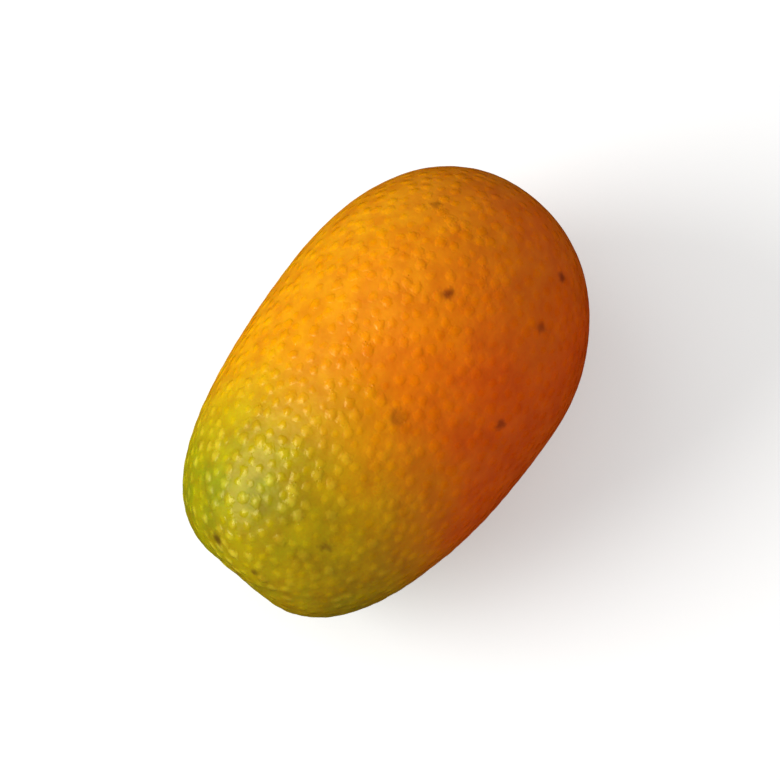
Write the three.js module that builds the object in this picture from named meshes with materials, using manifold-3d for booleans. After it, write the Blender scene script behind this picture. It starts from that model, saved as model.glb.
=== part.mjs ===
// A whole oval kumquat lying on its side, as picked and with its stalk gone.
// Millimetres, +Z up. +X runs from the stem end to the blossom end. The origin is on the surface
// that the fruit rests on, under the middle of its bounding box.

import * as THREE from 'three';
import { mergeVertices } from 'three/addons/utils/BufferGeometryUtils.js';
import Module from 'manifold-3d';

// Driving dimensions of the fruit, before it is laid down.
const LENGTH = 38.4; // from the stem end to the blossom end
const WIDTH = 24.8; // across the widest section
const WIDEST_AT = 0.59; // share of the length between the stem end and the widest section

// Each end is a superellipse: fullness along the fruit, and bluntness of the two ends.
const FULLNESS = 2.2;
const STEM_BLUNTNESS = 3.1; // the stem end is broad and nearly flat
const BLOSSOM_BLUNTNESS = 2.1; // the blossom end is rounder

// The shallow basin that the stalk sat in, and the dimple that the style left.
const BASIN_DEPTH = 0.7;
const BASIN_RADIUS = 2.3;
const DIMPLE_DEPTH = 0.25;
const DIMPLE_RADIUS = 1.1;

// A grown fruit is never quite round. The section is slightly oval and three-sided, lying on its
// flattest side, and the fruit bows and slants a little.
const OVALNESS = 0.006; // as shares of the radius
const THREE_SIDEDNESS = 0.006;
const BOW = 0.65; // how far both ends lean to +Y
const SLANT = 0.05; // how far the stem end leans back on its +Y side, as a share of Y

// The fruit's own weight: the stem end sits a little low, and the peel flattens where it rests.
const REST_TILT = THREE.MathUtils.degToRad(2.5);
const FLAT_DEPTH = 0.28;

const ROWS = 44; // facets from end to end
const SEGMENTS = 60; // facets round the fruit

const RADIUS = WIDTH / 2;
const STEM_LENGTH = LENGTH * WIDEST_AT; // from the stem end to the widest section
const BLOSSOM_LENGTH = LENGTH - STEM_LENGTH;
const MIDDLE = LENGTH / 2 - STEM_LENGTH; // middle of the length, measured from the widest section

const wasm = await Module();
wasm.setup();

// A point of the outline as (distance from the axis, distance along it from the middle), for an
// angle that runs from 0 at the stem end to pi at the blossom end.
function outlinePoint(angle) {
  const onStemHalf = angle < Math.PI / 2;
  const reach = onStemHalf ? STEM_LENGTH : BLOSSOM_LENGTH;
  const bluntness = onStemHalf ? STEM_BLUNTNESS : BLOSSOM_BLUNTNESS;
  const radius = RADIUS * Math.sin(angle);
  const share = Math.max(0, 1 - Math.sin(angle) ** bluntness) ** (1 / FULLNESS);
  const along = (onStemHalf ? -share : share) * reach - MIDDLE;
  const basin = onStemHalf ? BASIN_DEPTH * Math.exp(-((radius / BASIN_RADIUS) ** 2)) : 0;
  const dimple = onStemHalf ? 0 : DIMPLE_DEPTH * Math.exp(-((radius / DIMPLE_RADIUS) ** 2));
  return new THREE.Vector2(radius, along + basin - dimple);
}

function outline() {
  const points = [];
  for (let row = 0; row <= ROWS; row++) points.push(outlinePoint((Math.PI * row) / ROWS));
  points[0].x = 0;
  points[ROWS].x = 0;
  return points;
}

// Turns the lathed form into a grown one: oval, three-sided, slanted at the stem end and bowed.
function growUnevenly(geometry) {
  const position = geometry.getAttribute('position');
  const point = new THREE.Vector3();
  for (let i = 0; i < position.count; i++) {
    point.fromBufferAttribute(position, i);
    const around = Math.atan2(point.z, point.y);
    const stretch = 1 + OVALNESS * Math.cos(2 * around) - THREE_SIDEDNESS * Math.sin(3 * around);
    point.y *= stretch;
    point.z *= stretch;
    const towardsEnd = (point.x / (LENGTH / 2)) ** 2;
    if (point.x < 0) point.x += SLANT * point.y * towardsEnd;
    point.y += BOW * towardsEnd;
    position.setXYZ(i, point.x, point.y, point.z);
  }
  return geometry;
}

function toSolid(geometry) {
  const bare = geometry.clone();
  bare.deleteAttribute('normal');
  bare.deleteAttribute('uv');
  const merged = mergeVertices(bare, 1e-4);
  return new wasm.Manifold(
    new wasm.Mesh({
      numProp: 3,
      vertProperties: merged.getAttribute('position').array,
      triVerts: new Uint32Array(merged.index.array),
    }),
  );
}

function toGeometry(solid) {
  const { vertProperties, triVerts } = solid.getMesh();
  const geometry = new THREE.BufferGeometry();
  geometry.setAttribute('position', new THREE.BufferAttribute(vertProperties, 3));
  geometry.setIndex(new THREE.BufferAttribute(triVerts, 1));
  return geometry;
}

// The fruit laid on its side and sunk by the depth of its flat spot.
function layDown(geometry) {
  geometry.rotateY(-REST_TILT);
  geometry.computeBoundingBox();
  geometry.translate(0, 0, -geometry.boundingBox.min.z - FLAT_DEPTH);
  return geometry;
}

// Takes off what lies below the resting surface, which leaves the flat spot.
function cutFlatSpot(geometry) {
  const floor = new THREE.BoxGeometry(2 * LENGTH, 2 * WIDTH, WIDTH);
  floor.translate(0, 0, -WIDTH / 2);
  return toGeometry(toSolid(geometry).subtract(toSolid(floor)));
}

function centreOnOrigin(geometry) {
  geometry.computeBoundingBox();
  const { min, max } = geometry.boundingBox;
  geometry.translate(-(min.x + max.x) / 2, -(min.y + max.y) / 2, 0);
  return geometry;
}

function fruit() {
  const lathed = new THREE.LatheGeometry(outline(), SEGMENTS);
  lathed.rotateZ(-Math.PI / 2); // the lathe turns about Y, and the fruit lies along X
  const solid = centreOnOrigin(cutFlatSpot(layDown(growUnevenly(lathed))));
  solid.computeVertexNormals();
  return solid;
}

const peel = new THREE.MeshStandardMaterial({
  name: 'peel',
  color: new THREE.Color().setRGB(0.9, 0.52, 0.03, THREE.SRGBColorSpace),
  roughness: 0.4,
  metalness: 0,
});

const kumquat = new THREE.Mesh(fruit(), peel);
kumquat.name = 'kumquat';

const part = new THREE.Group();
part.add(kumquat);

export default part;
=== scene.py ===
import math
import random
from bisect import bisect_right

import bmesh
import bpy
from mathutils import Matrix, Vector, kdtree, noise


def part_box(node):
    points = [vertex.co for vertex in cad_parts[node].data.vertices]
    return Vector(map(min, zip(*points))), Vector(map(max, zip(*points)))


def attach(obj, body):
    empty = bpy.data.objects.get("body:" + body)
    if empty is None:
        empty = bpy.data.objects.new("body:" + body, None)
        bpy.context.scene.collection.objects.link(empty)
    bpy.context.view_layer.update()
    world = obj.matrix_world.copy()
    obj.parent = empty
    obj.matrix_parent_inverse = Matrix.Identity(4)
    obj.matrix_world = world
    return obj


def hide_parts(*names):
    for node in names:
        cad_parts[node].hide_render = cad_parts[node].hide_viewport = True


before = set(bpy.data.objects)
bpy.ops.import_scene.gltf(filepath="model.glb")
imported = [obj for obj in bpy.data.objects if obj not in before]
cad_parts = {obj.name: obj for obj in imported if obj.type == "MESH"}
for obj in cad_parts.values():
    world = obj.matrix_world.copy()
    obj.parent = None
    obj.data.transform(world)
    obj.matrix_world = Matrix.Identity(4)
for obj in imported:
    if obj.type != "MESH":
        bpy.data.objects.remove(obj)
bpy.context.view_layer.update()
print("frame loaded")

# One whole kumquat on its side: orange peel pebbled with oil glands, still green at the stem end.
# Shapes are worked out in millimetres, with +X from the stem end to the blossom end, and made
# metres when the fruit is laid in its place.
metresPerMm = 0.001

fruit = {
    "length": 38.4,
    "width": 24.8,
    "widestAt": 0.59,  # share of the length between the stem end and the widest section
    "fullness": 2.2,
    "stemBluntness": 3.1,
    "blossomBluntness": 2.1,
    "basinDepth": 0.7,  # where the stalk sat
    "basinRadius": 2.3,
    "dimpleDepth": 0.25,  # where the style fell off
    "dimpleRadius": 1.1,
    "ovalness": 0.006,
    "threeSidedness": 0.006,
    "bow": 0.65,
    "slant": 0.05,
    "restTilt": math.radians(2.5),
    "flatDepth": 0.28,  # how far the peel flattens where it rests
    "flatSoftness": 0.05,
    "outlineSteps": 4000,  # for measuring along the outline
    "facesPerSide": 124,  # of the cube that becomes the fruit
    "scarRefinement": 0.2,  # share of an end face's side that gets finer faces
}


def between(limits, share):
    return limits[0] + (limits[1] - limits[0]) * share


def smoothStep(low, high, value):
    share = max(0, min(1, (value - low) / (high - low)))
    return share * share * (3 - 2 * share)


def bell(distance, width):
    return math.exp(-(distance / width) ** 2)


def outlinePoint(angle):
    # Distance along the fruit and from its axis. The angle runs from the stem end to the blossom end.
    onStemHalf = angle < math.pi / 2
    share = fruit["widestAt"] if onStemHalf else 1 - fruit["widestAt"]
    bluntness = fruit["stemBluntness"] if onStemHalf else fruit["blossomBluntness"]
    bulge = math.sin(angle)
    offWidest = max(0, 1 - bulge ** bluntness) ** (1 / fruit["fullness"]) * share * fruit["length"]
    middle = (0.5 - fruit["widestAt"]) * fruit["length"]
    return (-offWidest if onStemHalf else offWidest) - middle, bulge * fruit["width"] / 2


def evenOutline():
    # The outline's points with their share of its arc length, so that faces can be spaced evenly.
    steps = fruit["outlineSteps"]
    points = [outlinePoint(math.pi * step / steps) for step in range(steps + 1)]
    lengths = [0.0]
    for before, after in zip(points, points[1:]):
        lengths.append(lengths[-1] + math.dist(before, after))
    return points, [length / lengths[-1] for length in lengths]


outlinePoints, outlineShares = evenOutline()


def outlineAt(share):
    # The outline's point at a share of the arc length.
    after = min(max(bisect_right(outlineShares, share), 1), len(outlineShares) - 1)
    span = outlineShares[after] - outlineShares[after - 1]
    blend = (share - outlineShares[after - 1]) / span
    neighbours = zip(outlinePoints[after - 1], outlinePoints[after])
    return [between(sides, blend) for sides in neighbours]


def growFrom(direction):
    # Takes a point of the unit ball to its place on the fruit's smooth skin.
    turn = math.acos(max(-1, min(1, -direction.x)))
    along, radius = outlineAt(turn / math.pi)
    around = math.atan2(direction.z, direction.y)
    if along < 0:
        along += fruit["basinDepth"] * bell(radius, fruit["basinRadius"])
    else:
        along -= fruit["dimpleDepth"] * bell(radius, fruit["dimpleRadius"])
    stretch = 1 + fruit["ovalness"] * math.cos(2 * around)
    stretch -= fruit["threeSidedness"] * math.sin(3 * around)
    across = radius * math.cos(around) * stretch
    height = radius * math.sin(around) * stretch
    towardsEnd = (along / (fruit["length"] / 2)) ** 2
    if along < 0:
        along += fruit["slant"] * across * towardsEnd
    return Vector((along, across + fruit["bow"] * towardsEnd, height))


def nearScar(vert):
    # On an end face of the cube, around its middle.
    aside = max(abs(vert.co.y), abs(vert.co.z))
    return math.isclose(abs(vert.co.x), 1, abs_tol=1e-3) and aside < fruit["scarRefinement"]


def ballOfSquares():
    # A cube with its squares spread evenly over a ball, finer where the scars come.
    bm = bmesh.new()
    bmesh.ops.create_cube(bm, size=2)
    bmesh.ops.subdivide_edges(bm, edges=bm.edges, cuts=fruit["facesPerSide"] - 1, use_grid_fill=True)
    scarEdges = [edge for edge in bm.edges if all(nearScar(vert) for vert in edge.verts)]
    bmesh.ops.subdivide_edges(bm, edges=scarEdges, cuts=1, use_grid_fill=True)
    for vert in bm.verts:
        vert.co = Vector([math.tan(side * math.pi / 4) for side in vert.co]).normalized()
    return bm


def ringNoise(angle, lobes, offset):
    # Noise that closes on itself round a ring.
    size = lobes / math.tau
    return noise.noise(Vector((math.cos(angle) * size, math.sin(angle) * size, offset)))


# The stalk's scar is a ragged rim round a sunken floor of fibres, with furrows in the peel
# around it. A scar's tone runs from dark to pale.
stemScar = {
    "radius": 1.2,
    "lobes": 5,  # where the sepals met the fruit
    "lobeReach": 0.06,
    "lobeTurn": 0.6,
    "raggedness": 0.14,
    "notches": 14,
    "rimHeight": 0.20,
    "rimWidth": 0.24,
    "sink": 0.34,
    "wallWidth": 0.4,  # from the rim down to the floor
    "edgeWidth": 0.2,  # over which the scar gives way to peel
    "coreRadius": 0.36,  # of the stump of fibres in the middle
    "coreHeight": 0.26,
    "fibres": 24,  # ridges and grooves round the floor
    "fibreDepth": 0.16,
    "fibreStart": (0.15, 0.6),  # distance from the middle over which they deepen
    "furrows": 16,  # counting the smooth peel between them
    "furrowDepth": 0.24,
    "furrowAt": 2.1,
    "furrowWidth": 1.3,
    "floorTone": 0.25,
    "rimTone": 0.55,
    "coreTone": 0.35,
    "fibreTone": 0.9,
    "noiseSlices": {"edge": 3.1, "fibres": 7.7, "furrows": 1.4},
}

# The style's scar is a pitted nub in russet peel. The slope, the width of the pit, the fade and
# the span of the tones are shares of its radius.
blossomScar = {
    "radius": 0.45,
    "raggedness": 0.5,
    "notches": 7,
    "height": 0.20,
    "slope": (0.3, 1.3),
    "pitDepth": 0.4,  # share of the height
    "pitWidth": 0.4,
    "fade": (0.8, 1.5),
    "haloRadius": 0.9,  # of the russet peel
    "haloStrength": 0.3,
    "tones": (0.2, 0.8),  # at the middle and at the edge
    "toneSpan": (0.2, 1.0),
    "noiseSlice": 9.2,
}


def stemRelief(offAxis, around):
    # Height, scar mask and scar tone of the stalk's scar and the furrows round it.
    look = stemScar
    slices = look["noiseSlices"]
    lobes = look["lobeReach"] * math.cos(look["lobes"] * around + look["lobeTurn"])
    notches = look["raggedness"] * ringNoise(around, look["notches"], slices["edge"])
    edge = look["radius"] * (1 + lobes + notches)
    rim = bell(offAxis - edge, look["rimWidth"])
    core = bell(offAxis, look["coreRadius"])
    inside = 1 - smoothStep(edge - look["wallWidth"], edge, offAxis)
    fibres = ringNoise(around, look["fibres"], slices["fibres"]) * smoothStep(*look["fibreStart"], offAxis)
    height = look["rimHeight"] * rim + look["coreHeight"] * core
    height += inside * (fibres * look["fibreDepth"] - look["sink"])
    furrow = max(0, ringNoise(around, look["furrows"], slices["furrows"]))
    fade = bell(offAxis - look["furrowAt"], look["furrowWidth"])
    height -= look["furrowDepth"] * fade * furrow * (1 - inside)
    tone = look["floorTone"] + look["rimTone"] * rim + look["coreTone"] * core
    tone += look["fibreTone"] * fibres * inside
    return height, 1 - smoothStep(edge, edge + look["edgeWidth"], offAxis), tone


def blossomRelief(offAxis, around):
    # Height, scar mask and scar tone of the nub that the style left.
    look = blossomScar
    notches = look["raggedness"] * ringNoise(around, look["notches"], look["noiseSlice"])
    edge = look["radius"] * (1 + notches)
    shareOut = offAxis / edge
    nub = 1 - smoothStep(*look["slope"], shareOut)
    pit = look["pitDepth"] * bell(shareOut, look["pitWidth"])
    halo = look["haloStrength"] * bell(offAxis, look["haloRadius"])
    tone = between(look["tones"], smoothStep(*look["toneSpan"], shareOut))
    return look["height"] * (nub - pit), max(halo, 1 - smoothStep(*look["fade"], shareOut)), tone


def endRelief(point):
    # Distance is taken from the fruit's own bowed axis.
    axisAcross = fruit["bow"] * (point.x / (fruit["length"] / 2)) ** 2
    across = point.y - axisAcross
    offAxis = math.hypot(across, point.z)
    around = math.atan2(point.z, across)
    return stemRelief(offAxis, around) if point.x < 0 else blossomRelief(offAxis, around)


relief = {
    "seed": 11,
    "swellHeight": 0.09,  # slow undulations
    "swellSize": 8.0,
    "rippleHeight": 0.018,
    "rippleSize": 2.4,
    "glandSpacing": (0.86, 1.12),
    "glandRadius": (0.50, 0.75),
    "glandHeight": (0.012, 0.048),
    "overlappingGlands": 3,  # the nearest ones, of which the highest counts
    "pebblingSpan": (-9.0, 9.0),  # millimetres along the fruit, from full pebbling to the least
    "leastPebbling": 0.30,
}

# Small brown marks. Those on the upper side have a place along and across the fruit, a radius
# and a strength. The others are scattered over the ends, the lower sides and the underside.
specks = {
    "upper": (
        (13.0, 5.3, 0.40, 0.65),
        (7.6, -0.2, 0.45, 0.9),
        (14.8, -6.2, 0.40, 0.8),
        (10.2, -7.3, 0.45, 0.6),
        (2.4, -9.4, 0.42, 0.65),
        (-2.5, -3.1, 0.65, 0.5),
        (-13.5, -4.3, 0.45, 0.7),
        (-18.0, 3.1, 0.50, 0.9),
    ),
    "probeSteps": 24,  # from the top down to the axis, to find the skin
    "probeReach": 0.3,
    "elsewhere": 26,  # draws, of which those that fall too high are dropped
    "elsewhereBelow": 0.25,  # share of the width above the axis
    "elsewhereRadius": (0.14, 0.32),
    "elsewhereStrength": (0.35, 0.9),
    "raggedness": 0.5,
    "raggedScale": 3.1,  # higher is finer
    "fade": (0.35, 1.5),  # shares of the radius, from full strength to none
    "reach": 2,  # radii within which vertices are marked
}


def pebbling(point):
    # The peel is roughest at the stem end.
    return 1 - (1 - relief["leastPebbling"]) * smoothStep(*relief["pebblingSpan"], point.x)


def scatterGlands(points, dice):
    # Gland centres in random places, none nearer to another than the spacing.
    order = list(range(len(points)))
    dice.shuffle(order)
    widest = relief["glandSpacing"][1]
    cells = {}
    centres = []
    steps = [(i, j, k) for i in (-1, 0, 1) for j in (-1, 0, 1) for k in (-1, 0, 1)]
    for index in order:
        point = points[index]
        spacing = between(relief["glandSpacing"], dice.random())
        cell = tuple(math.floor(side / widest) for side in point)
        near = (
            other for step in steps
            for other in cells.get((cell[0] + step[0], cell[1] + step[1], cell[2] + step[2]), ())
        )
        if all((point - other).length > spacing for other in near):
            cells.setdefault(cell, []).append(point)
            centres.append(point)
    return centres


def treeOf(points):
    tree = kdtree.KDTree(len(points))
    for index, point in enumerate(points):
        tree.insert(point, index)
    tree.balance()
    return tree


def skinBelow(along, across, tree):
    # The skin's nearest point to a probe that comes down on it from above.
    steps = specks["probeSteps"]
    probe = Vector((along, across, 0))
    for step in range(steps):
        probe.z = fruit["width"] / 2 * (1 - step / steps)
        found = tree.find(probe)[0]
        if (found.xy - probe.xy).length < specks["probeReach"]:
            break
    return found


def speckCentres(points, tree, dice):
    marks = [
        (skinBelow(along, across, tree), radius, strength)
        for along, across, radius, strength in specks["upper"]
    ]
    for _ in range(specks["elsewhere"]):
        point = points[dice.randrange(len(points))]
        radius = between(specks["elsewhereRadius"], dice.random())
        strength = between(specks["elsewhereStrength"], dice.random())
        if point.z < fruit["width"] * specks["elsewhereBelow"]:
            marks.append((point, radius, strength))
    return marks


def markSpecks(bm, points, tree, marks):
    layer = bm.verts.layers.float.new("speck")
    bm.verts.ensure_lookup_table()
    solid, faded = specks["fade"]
    for centre, radius, strength in marks:
        for _, index, distance in tree.find_range(centre, specks["reach"] * radius):
            vert = bm.verts[index]
            wobble = noise.noise(points[index] * specks["raggedScale"])
            ragged = distance * (1 + specks["raggedness"] * wobble)
            depth = strength * (1 - smoothStep(solid * radius, faded * radius, ragged))
            vert[layer] = max(vert[layer], depth)


def growFruit():
    dice = random.Random(relief["seed"])
    bm = ballOfSquares()
    for vert in bm.verts:
        vert.co = growFrom(vert.co)
    bm.normal_update()
    points = [vert.co.copy() for vert in bm.verts]
    skinTree = treeOf(points)
    centres = scatterGlands(points, dice)
    glandTree = treeOf(centres)
    radii = [between(relief["glandRadius"], dice.random()) for _ in centres]
    tones = [dice.random() for _ in centres]
    marks = speckCentres(points, skinTree, dice)
    print("glands:", len(centres), "specks:", len(marks))

    offsetLayer = bm.verts.layers.float_vector.new("fromGland")
    distanceLayer = bm.verts.layers.float.new("glandDistance")
    toneLayer = bm.verts.layers.float.new("glandTone")
    scarLayer = bm.verts.layers.float.new("scar")
    scarToneLayer = bm.verts.layers.float.new("scarTone")
    for vert, point in zip(bm.verts, points):
        nearest, index, distance = glandTree.find(point)
        pebble = pebbling(point) * max(
            between(relief["glandHeight"], tones[near]) * max(0, 1 - (reach / radii[near]) ** 2)
            for _, near, reach in glandTree.find_n(point, relief["overlappingGlands"])
        )
        endHeight, scar, scarTone = endRelief(point)
        swell = noise.noise(point / relief["swellSize"]) * relief["swellHeight"]
        ripple = noise.noise(point / relief["rippleSize"]) * relief["rippleHeight"]
        vert.co = point + vert.normal * (endHeight + swell + ripple + pebble * (1 - scar))
        vert[offsetLayer] = point - nearest
        vert[distanceLayer] = distance
        vert[toneLayer] = tones[index]
        vert[scarLayer] = scar
        vert[scarToneLayer] = scarTone
    markSpecks(bm, points, skinTree, marks)
    return bm


def corners(bm):
    low = Vector([min(vert.co[side] for vert in bm.verts) for side in range(3)])
    high = Vector([max(vert.co[side] for vert in bm.verts) for side in range(3)])
    return low, high


def layDown(bm):
    # Lays the fruit on its flat spot and fits it to the frame's box.
    bm.transform(Matrix.Rotation(-fruit["restTilt"], 4, "Y"))
    lowest = corners(bm)[0].z
    for vert in bm.verts:
        height = vert.co.z - lowest - fruit["flatDepth"]
        vert.co.z = (height + math.hypot(height, fruit["flatSoftness"])) / 2
    low, high = corners(bm)
    boxLow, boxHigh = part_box("kumquat")
    for vert in bm.verts:
        for side in range(3):
            share = (vert.co[side] - low[side]) / (high[side] - low[side])
            vert.co[side] = between((boxLow[side], boxHigh[side]), share)


def addPiece(name, bm, material):
    mesh = bpy.data.meshes.new(name)
    bm.to_mesh(mesh)
    bm.free()
    mesh.polygons.foreach_set("use_smooth", [True] * len(mesh.polygons))
    mesh.materials.append(material)
    piece = bpy.data.objects.new(name, mesh)
    bpy.context.scene.collection.objects.link(piece)
    return piece


def addNode(tree, kind, inputs=None, label="", **settings):
    node = tree.nodes.new(kind)
    node.label = label
    for setting, value in settings.items():
        setattr(node, setting, value)
    for key, value in (inputs or {}).items():
        if isinstance(value, bpy.types.NodeSocket):
            tree.links.new(value, node.inputs[key])
        else:
            node.inputs[key].default_value = value
    return node


def maths(tree, operation, first, second=0.0, label="", clamp=False):
    node = addNode(tree, "ShaderNodeMath", {0: first, 1: second}, label, operation=operation)
    node.use_clamp = clamp
    return node.outputs[0]


def product(tree, result, *others):
    for other in others:
        result = maths(tree, "MULTIPLY", result, other)
    return result


def mapRange(tree, value, span, results=(0.0, 1.0), label=""):
    inputs = {0: value, 1: span[0], 2: span[1], 3: results[0], 4: results[1]}
    node = addNode(tree, "ShaderNodeMapRange", inputs, label, interpolation_type="SMOOTHSTEP")
    return node.outputs[0]


# A Mix node's sockets 2 and 3 take values, and 6 and 7 take colours.
def mixValues(tree, factor, first, second, label=""):
    return addNode(tree, "ShaderNodeMix", {0: factor, 2: first, 3: second}, label).outputs[0]


def mixColours(tree, factor, first, second, blend="MIX", label=""):
    colours = [(*colour, 1) if isinstance(colour, tuple) else colour for colour in (first, second)]
    inputs = {0: factor, 6: colours[0], 7: colours[1]}
    node = addNode(tree, "ShaderNodeMix", inputs, label, data_type="RGBA", blend_type=blend)
    return node.outputs[2]


def colourRamp(tree, value, stops, label=""):
    node = addNode(tree, "ShaderNodeValToRGB", {0: value}, label)
    elements = node.color_ramp.elements
    while len(elements) < len(stops):
        elements.new(0.5)
    for element, (place, colour) in zip(elements, stops):
        element.position = place
        element.color = (*colour, 1)
    return node.outputs[0]


def noiseAt(tree, coords, size, label, detail):
    inputs = {"Vector": coords, "Scale": 1 / size, "Detail": detail}
    return addNode(tree, "ShaderNodeTexNoise", inputs, label).outputs["Fac"]


def attribute(tree, name):
    return addNode(tree, "ShaderNodeAttribute", label=name, attribute_name=name).outputs["Fac"]


# Sizes and spans are in millimetres or in ripeness, which runs from 0 on green peel to 1 on orange.
# The span of a noise is the part of its range that counts.
peelLook = {
    "ripeningSpan": (-16.0, 4.0),  # along the fruit
    "sideRipeness": 0.035,  # how much sooner the sides turn orange than the middle
    "slantRipeness": 0.12,  # and the +Y side sooner than the other
    "patchSize": 7.0,
    "patchReach": 3.0,
    "ripening": (
        (0.0, (0.41, 0.39, 0.0)),
        (0.22, (0.50, 0.44, 0.0)),
        (0.5, (0.66, 0.44, 0.0)),
        (0.8, (0.84, 0.40, 0.0)),
        (1.0, (0.92, 0.38, 0.0)),
    ),
    "greenest": (0.17, 0.29, 0.0),  # in patches of the green peel
    "greenSize": 2.8,
    "greenNoiseSpan": (0.42, 0.66),
    "greenRipeness": (0.0, 0.5),
    "greenDepths": (0.45, 0.0),
    "blossomEnd": (0.84, 0.25, 0.0),
    "blossomSpan": (4.0, 18.0),
    "blossomDepths": (0.0, 0.75),
    # Deeper red-orange towards -Y, the side away from the lights: partly the peel's own blush, partly
    # painted shade.
    "blushAndShade": (0.95, 0.055, 0.0),
    "axisBlushAndShade": 0.37,
    "blushAndShadeSlope": -0.045,  # per millimetre towards +Y
    "blushAndShadePatches": 0.5,
    "ripeningBlushAndShade": (0.3, 1.0),  # share of the blush and painted shade that shows on green peel and on orange
    "undersideSpan": (2.0, 15.0),  # above the table
    "undersideBlushAndShade": (0.45, 1.0),
    "mostBlushAndShade": 0.80,
    "mottleSize": 1.7,
    "mottle": (
        (0.3, (0.84, 0.68, 0.6)),
        (0.7, (1.0, 1.03, 1.0)),
    ),
    "specularTint": (1.0, 0.88, 0.40, 1.0),
    "refraction": 1.4,
    "specularLevel": 0.5,
    "subsurface": 0.15,
    "subsurfaceReach": 1.0,
    "subsurfaceColours": (1.0, 0.35, 0.08),  # shares of that reach for red, green and blue
    "waxSize": 2.8,
    "waxNoiseSpan": (0.3, 0.7),
    "waxRoughness": (0.33, 0.43),
    "grainSize": 0.16,
    "grainHeight": 0.005,
}

# Oil glands: pale dots on green peel, faint ones on orange, with darker peel between, and a small glossy
# cap over each. The darker peel between is painted shade. It and the dots grow stronger towards +Y, the
# side facing the lights, as a painted highlight of the caps.
glandLook = {
    "green": (0.85, 0.72, 0.08),
    "orange": (1.0, 0.50, 0.0),
    "dotSoftness": 0.7,  # below 1 the dots fill their caps
    "dotRipeness": (0.1, 0.9),
    "dotStrength": (0.22, 0.03),
    # Painted shade between the raised caps, on green peel and on orange.
    "paintedShadeBetweenGlands": (0.14, 0.05),
    "toneSpan": (0.1, 1.0),
    "toneStrength": (0.15, 1.0),
    "patchSize": 3.4,
    "patchNoiseSpan": (0.35, 0.62),
    "patchStrength": (0.5, 1.3),
    "sideSpan": (-7.0, 3.0),  # across the fruit
    "sideStrength": (0.42, 1.15),  # the +Y side, facing the lights, is the more pebbled; there its dots are strengthened as painted highlight and its ground as painted shade
    "capRadius": (0.36, 0.56),
    "capSharpness": 1.4,
    "capHeight": (0.03, 0.075),
    "capGloss": 0.17,  # how much smoother the caps are
    "glossSoftness": 0.5,
    "capRipeness": (0.3, 1.0),
    "ripeCaps": (1.0, 0.9),  # share of the caps' height on green peel and on orange
    "raggedness": (0.775, 1.225),
    "raggedSize": 0.45,
    "raggedNoiseSpan": (0.25, 0.75),
    "exactWithin": (0.31, 0.37),  # distance from a gland over which the exact offset gives way
    "pebbleSize": 0.7,
    "pebbleHeight": 0.05,
}

markLook = {
    "speckShade": (0.30, 0.17, 0.08),
    "speckDryness": 0.7,
    "scarDark": (0.050, 0.017, 0.003),
    "scarPale": (0.52, 0.24, 0.06),
    "scarGrainSize": 0.3,
    "dryRoughness": 0.6,
}


def glandCap(tree, coords, tone):
    # A round cap over each gland, 1 at its middle. The offset from the middle is exact inside a
    # gland's own ground but not across its edge, where the plain distance takes over.
    look = glandLook
    offset = addNode(tree, "ShaderNodeAttribute", label="fromGland", attribute_name="fromGland")
    fine = addNode(tree, "ShaderNodeVectorMath", {0: offset.outputs["Vector"]}, operation="LENGTH")
    coarse = attribute(tree, "glandDistance")
    nearEdge = mapRange(tree, coarse, look["exactWithin"])
    distance = mixValues(tree, nearEdge, fine.outputs["Value"], coarse)
    edgeNoise = noiseAt(tree, coords, look["raggedSize"], "ragged", detail=1)
    ragged = mapRange(tree, edgeNoise, look["raggedNoiseSpan"], look["raggedness"])
    radius = mapRange(tree, tone, (0.0, 1.0), look["capRadius"])
    share = maths(tree, "DIVIDE", product(tree, distance, ragged), radius)
    dome = maths(tree, "SUBTRACT", 1.0, product(tree, share, share), clamp=True)
    return maths(tree, "POWER", dome, look["capSharpness"], "gland cap")


def ripenessOf(tree, surface):
    look = peelLook
    drift = product(tree, surface["patches"], look["patchReach"])
    lean = product(tree, surface["across"], surface["across"], look["sideRipeness"])
    lean = maths(tree, "ADD", lean, product(tree, surface["across"], look["slantRipeness"]))
    reach = maths(tree, "ADD", maths(tree, "ADD", surface["along"], drift), lean)
    return mapRange(tree, reach, look["ripeningSpan"], label="ripeness")


def readSurface(tree):
    # What the layers of the peel share: place in millimetres, marks, glands and ripeness.
    texCoord = addNode(tree, "ShaderNodeTexCoord")
    scale = {"Vector": texCoord.outputs["Object"], "Scale": (1 / metresPerMm,) * 3}
    coords = addNode(tree, "ShaderNodeMapping", scale, "millimetres").outputs[0]
    place = addNode(tree, "ShaderNodeSeparateXYZ", {0: coords}, "place").outputs
    surface = {"coords": coords, "along": place[0], "across": place[1], "height": place[2]}
    for name in ("glandTone", "speck", "scar", "scarTone"):
        surface[name] = attribute(tree, name)
    surface["cap"] = glandCap(tree, coords, surface["glandTone"])
    patches = noiseAt(tree, coords, peelLook["patchSize"], "patches", detail=3)
    surface["patches"] = maths(tree, "SUBTRACT", patches, 0.5)
    surface["ripeness"] = ripenessOf(tree, surface)
    # Stronger towards +Y, the side facing the lights: real pebbling in the relief, painted highlight and
    # shade in the gland colours.
    surface["pebbledSide"] = mapRange(
        tree, surface["across"], glandLook["sideSpan"], glandLook["sideStrength"], "pebbled side"
    )
    return surface


def ripeColour(tree, surface):
    look = peelLook
    colour = colourRamp(tree, surface["ripeness"], look["ripening"], "ripening")
    greenNoise = noiseAt(tree, surface["coords"], look["greenSize"], "green patches", detail=3)
    green = mapRange(tree, greenNoise, look["greenNoiseSpan"])
    depth = mapRange(tree, surface["ripeness"], look["greenRipeness"], look["greenDepths"])
    colour = mixColours(tree, product(tree, green, depth), colour, look["greenest"], label="greenest peel")
    deeper = mapRange(tree, surface["along"], look["blossomSpan"], look["blossomDepths"])
    return mixColours(tree, deeper, colour, look["blossomEnd"], label="blossom end")


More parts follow.
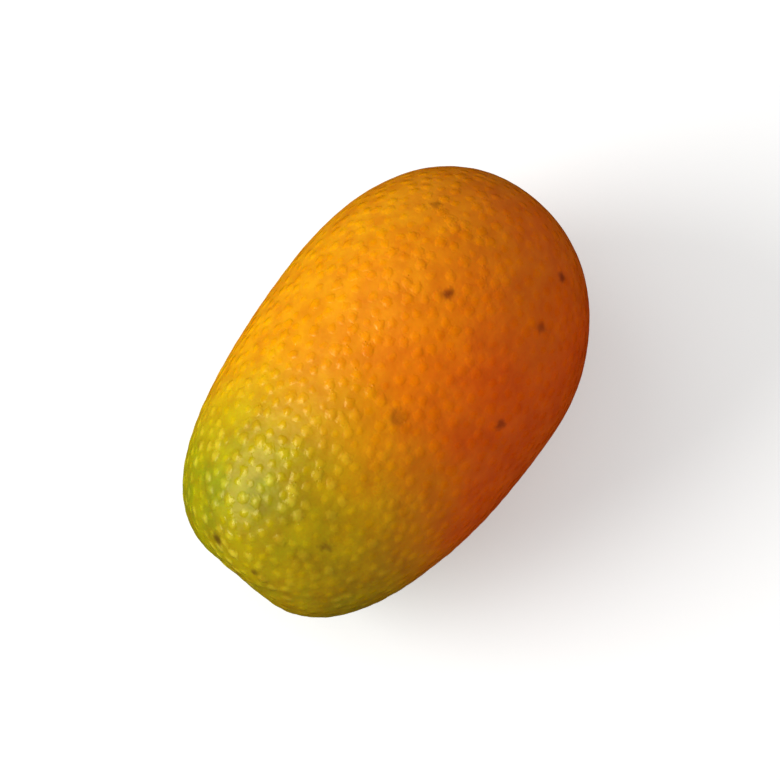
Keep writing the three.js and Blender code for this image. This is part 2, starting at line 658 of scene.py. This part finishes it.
def addBlushAndShade(tree, surface, colour):
    # Deeper red-orange on the -Y side, away from the lights: partly the peel's own blush, partly painted
    # shade of that side.
    look = peelLook
    sideways = maths(tree, "ADD", product(tree, surface["across"], look["blushAndShadeSlope"]), look["axisBlushAndShade"])
    patches = product(tree, surface["patches"], look["blushAndShadePatches"])
    blushAndShade = maths(tree, "ADD", sideways, patches, clamp=True)
    ripe = mapRange(tree, surface["ripeness"], (0.0, 1.0), look["ripeningBlushAndShade"])
    underneath = mapRange(tree, surface["height"], look["undersideSpan"], look["undersideBlushAndShade"])
    blushAndShade = maths(tree, "MINIMUM", product(tree, blushAndShade, ripe, underneath), look["mostBlushAndShade"])
    return mixColours(tree, blushAndShade, colour, look["blushAndShade"], label="blushAndShade")


def addMottle(tree, surface, colour):
    # Uneven tone over a millimetre or two.
    mottle = noiseAt(tree, surface["coords"], peelLook["mottleSize"], "mottle", detail=4)
    shade = colourRamp(tree, mottle, peelLook["mottle"], "mottle")
    return mixColours(tree, 1.0, colour, shade, "MULTIPLY")


def addGlands(tree, surface, colour):
    look = glandLook
    ripeness, side = surface["ripeness"], surface["pebbledSide"]
    dots = maths(tree, "POWER", surface["cap"], look["dotSoftness"], "dots")
    gaps = maths(tree, "SUBTRACT", 1.0, dots)
    darkness = mapRange(tree, ripeness, look["dotRipeness"], look["paintedShadeBetweenGlands"])
    # Darker peel between the raised caps: painted shade, strongest towards +Y together with the dots.
    ground = product(tree, gaps, darkness, side)
    colour = mixColours(tree, ground, colour, (0.0, 0.0, 0.0), label="ground between glands")
    strength = mapRange(tree, ripeness, look["dotRipeness"], look["dotStrength"])
    tone = mapRange(tree, surface["glandTone"], look["toneSpan"], look["toneStrength"])
    patchNoise = noiseAt(tree, surface["coords"], look["patchSize"], "dot patches", detail=2)
    patches = mapRange(tree, patchNoise, look["patchNoiseSpan"], look["patchStrength"])
    glandColour = mixColours(tree, ripeness, look["green"], look["orange"])
    # Pale dots: partly the glands' own colour, partly painted highlight that grows towards +Y.
    factor = product(tree, dots, strength, tone, patches, side)
    return mixColours(tree, factor, colour, glandColour, label="glands")


def addMarks(tree, surface, colour):
    # Brown specks, then the two scars over everything.
    look = markLook
    colour = mixColours(tree, surface["speck"], colour, look["speckShade"], "MULTIPLY", "specks")
    grain = noiseAt(tree, surface["coords"], look["scarGrainSize"], "scar grain", detail=4)
    grain = maths(tree, "SUBTRACT", grain, 0.5)
    tone = maths(tree, "ADD", surface["scarTone"], grain, clamp=True)
    scarColour = mixColours(tree, tone, look["scarDark"], look["scarPale"])
    return mixColours(tree, surface["scar"], colour, scarColour, label="scars")


def peelRoughness(tree, surface):
    # Waxy peel, glossier on the caps and dry on the specks and scars.
    waxNoise = noiseAt(tree, surface["coords"], peelLook["waxSize"], "wax", detail=3)
    roughness = mapRange(tree, waxNoise, peelLook["waxNoiseSpan"], peelLook["waxRoughness"])
    gloss = maths(tree, "POWER", surface["cap"], glandLook["glossSoftness"])
    roughness = maths(tree, "SUBTRACT", roughness, product(tree, gloss, glandLook["capGloss"]))
    drySpecks = product(tree, surface["speck"], markLook["speckDryness"])
    dry = maths(tree, "MAXIMUM", drySpecks, surface["scar"])
    return mixValues(tree, dry, roughness, markLook["dryRoughness"], "dry")


def peelHeight(tree, surface):
    # Caps over the glands, finer pebbles and the grain of the skin, in millimetres.
    look = glandLook
    coords = surface["coords"]
    capHeight = mapRange(tree, surface["glandTone"], (0.0, 1.0), look["capHeight"])
    ripe = mapRange(tree, surface["ripeness"], look["capRipeness"], look["ripeCaps"])
    smooth = maths(tree, "SUBTRACT", 1.0, surface["scar"])
    caps = product(tree, surface["cap"], capHeight, ripe, surface["pebbledSide"], smooth)
    cells = noiseAt(tree, coords, peelLook["grainSize"], "skin cells", detail=3)
    grain = product(tree, cells, peelLook["grainHeight"])
    pebbles = noiseAt(tree, coords, look["pebbleSize"], "pebbles", detail=1)
    pebbles = product(tree, pebbles, look["pebbleHeight"])
    return maths(tree, "ADD", maths(tree, "ADD", caps, grain), pebbles, "height in millimetres")


def peelMaterial():
    material = bpy.data.materials.new("kumquatPeel")
    material.use_nodes = True
    tree = material.node_tree
    surface = readSurface(tree)
    colour = ripeColour(tree, surface)
    for addLayer in (addBlushAndShade, addMottle, addGlands, addMarks):
        colour = addLayer(tree, surface, colour)
    height = peelHeight(tree, surface)
    bump = addNode(tree, "ShaderNodeBump", {"Height": height, "Strength": 1.0, "Distance": metresPerMm})

    skin = tree.nodes["Principled BSDF"]
    tree.links.new(colour, skin.inputs["Base Color"])
    tree.links.new(peelRoughness(tree, surface), skin.inputs["Roughness"])
    tree.links.new(bump.outputs[0], skin.inputs["Normal"])
    skin.inputs["IOR"].default_value = peelLook["refraction"]
    skin.inputs["Specular IOR Level"].default_value = peelLook["specularLevel"]
    skin.inputs["Specular Tint"].default_value = peelLook["specularTint"]
    skin.inputs["Subsurface Weight"].default_value = peelLook["subsurface"]
    skin.inputs["Subsurface Radius"].default_value = peelLook["subsurfaceColours"]
    skin.inputs["Subsurface Scale"].default_value = peelLook["subsurfaceReach"] * metresPerMm
    return material


# Sizes are in metres and powers in watts. A light's tilt is measured from the camera's line of
# sight, and its turn goes round that line from the camera's right.
studio = {
    "azimuth": math.radians(-52.7),
    "elevation": math.radians(80),
    "lens": 180.0,
    "sensor": 36.0,
    "fill": 1.62,  # frame width as a multiple of the fruit's length
    "clip": (0.01, 20.0),
    "lightDistance": 0.45,
    "softTilt": math.radians(50),
    "softTurn": math.radians(152),
    "softLength": 0.5,  # along the fruit
    "softWidth": 0.5,
    "softPower": 0.53,
    "glintTilt": math.radians(60),
    "glintTurn": math.radians(185),
    "glintLength": 0.36,
    "glintWidth": 0.26,
    "glintPower": 1.6,
    "ambient": 0.50,
    "backdrop": 0.8,
    "floorSize": 3.0,
    "floor": (0.90, 0.90, 0.89),
    "floorRoughness": 0.9,
    "floorBounce": 0.5,  # how much of its paleness the floor gives back to the fruit
    "floorGlow": 0.27,  # seen by the camera alone, to keep the floor nearly white
}


def viewAxes():
    turn, rise = studio["azimuth"], studio["elevation"]
    right = Vector((math.cos(turn), math.sin(turn), 0))
    up = Vector((-math.sin(turn) * math.sin(rise), math.cos(turn) * math.sin(rise), math.cos(rise)))
    return right, up, right.cross(up)


def looking(origin, right, up, back):
    pose = Matrix((right, up, back)).transposed().to_4x4()
    pose.translation = origin
    return pose


def addCamera(target, fruitLength):
    right, up, back = viewAxes()
    data = bpy.data.cameras.new("camera")
    data.lens = studio["lens"]
    data.sensor_width = studio["sensor"]
    data.clip_start, data.clip_end = studio["clip"]
    distance = fruitLength * studio["fill"] * studio["lens"] / studio["sensor"]
    camera = bpy.data.objects.new("camera", data)
    camera.matrix_world = looking(target + back * distance, right, up, back)
    bpy.context.scene.collection.objects.link(camera)
    bpy.context.scene.camera = camera


def addAreaLight(name, target):
    # An oval light that faces the fruit, with its long side along it.
    right, up, back = viewAxes()
    tilt, turn = studio[name + "Tilt"], studio[name + "Turn"]
    sideways = right * math.cos(turn) + up * math.sin(turn)
    towards = back * math.cos(tilt) + sideways * math.sin(tilt)
    alongFruit = Vector((1, 0, 0))
    lightRight = (alongFruit - towards * towards.dot(alongFruit)).normalized()
    lightUp = towards.cross(lightRight)
    data = bpy.data.lights.new(name, "AREA")
    data.shape = "ELLIPSE"
    data.size = studio[name + "Length"]
    data.size_y = studio[name + "Width"]
    data.energy = studio[name + "Power"]
    light = bpy.data.objects.new(name, data)
    light.matrix_world = looking(target + towards * studio["lightDistance"], lightRight, lightUp, towards)
    bpy.context.scene.collection.objects.link(light)
    return light


def floorMaterial():
    material = bpy.data.materials.new("paleFloor")
    material.use_nodes = True
    tree = material.node_tree
    surface = tree.nodes["Principled BSDF"]
    seen = addNode(tree, "ShaderNodeLightPath").outputs["Is Camera Ray"]
    dim = tuple(studio["floorBounce"] * side for side in studio["floor"])
    tree.links.new(mixColours(tree, seen, dim, studio["floor"]), surface.inputs["Base Color"])
    tree.links.new(product(tree, seen, studio["floorGlow"]), surface.inputs["Emission Strength"])
    surface.inputs["Emission Color"].default_value = (1, 1, 1, 1)
    surface.inputs["Roughness"].default_value = studio["floorRoughness"]
    surface.inputs["Specular IOR Level"].default_value = 0.0
    return material


def addFloor():
    bm = bmesh.new()
    bmesh.ops.create_grid(bm, x_segments=1, y_segments=1, size=studio["floorSize"] / 2)
    floor = addPiece("floor", bm, floorMaterial())
    floor.visible_glossy = False


def lightRoom():
    world = bpy.data.worlds.new("studio")
    bpy.context.scene.world = world
    world.use_nodes = True
    world.cycles_visibility.glossy = False
    tree = world.node_tree
    background = tree.nodes["Background"]
    background.inputs["Color"].default_value = (1, 1, 1, 1)
    seen = addNode(tree, "ShaderNodeLightPath").outputs["Is Camera Ray"]
    strength = mixValues(tree, seen, studio["ambient"], studio["backdrop"])
    tree.links.new(strength, background.inputs["Strength"])


low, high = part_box("kumquat")
centre = (low + high) / 2
addCamera(centre, high.x - low.x)
addAreaLight("glint", centre)
softLight = addAreaLight("soft", centre)
softLight.visible_glossy = False
lightRoom()
addFloor()
bpy.context.scene.view_settings.view_transform = "Standard"
print("studio ready")

bm = growFruit()
layDown(bm)
peel = addPiece("whole_fruit", bm, peelMaterial())
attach(peel, "root")
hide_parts("kumquat")
print("fruit grown:", len(peel.data.polygons), "faces")
